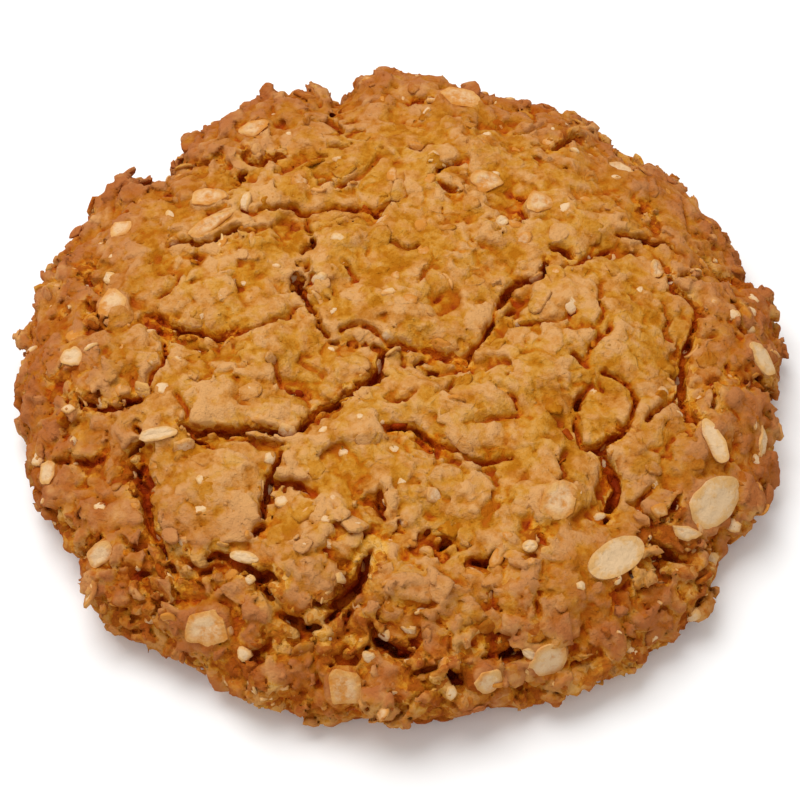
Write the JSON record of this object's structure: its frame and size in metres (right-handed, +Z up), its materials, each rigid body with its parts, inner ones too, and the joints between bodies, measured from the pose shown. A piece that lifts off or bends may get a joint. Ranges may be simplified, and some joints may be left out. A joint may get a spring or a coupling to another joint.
{
  "type": "oat biscuit",
  "caption": "Round baked oat biscuit with a domed, cracked and craggy crust, rolled-oat flakes standing out of it and a flat base to rest on.",
  "frame": {"origin": "on the flat base, under the middle of the round", "axes": "+Z up out of the domed crust, +Y away from the picture's viewer, +X to the viewer's right"},
  "size_m": [0.1036, 0.1018, 0.0179],
  "materials": {
    "crust": null
  },
  "bodies": {
    "root": {"biscuit": "crust"}
  },
  "joints": []
}
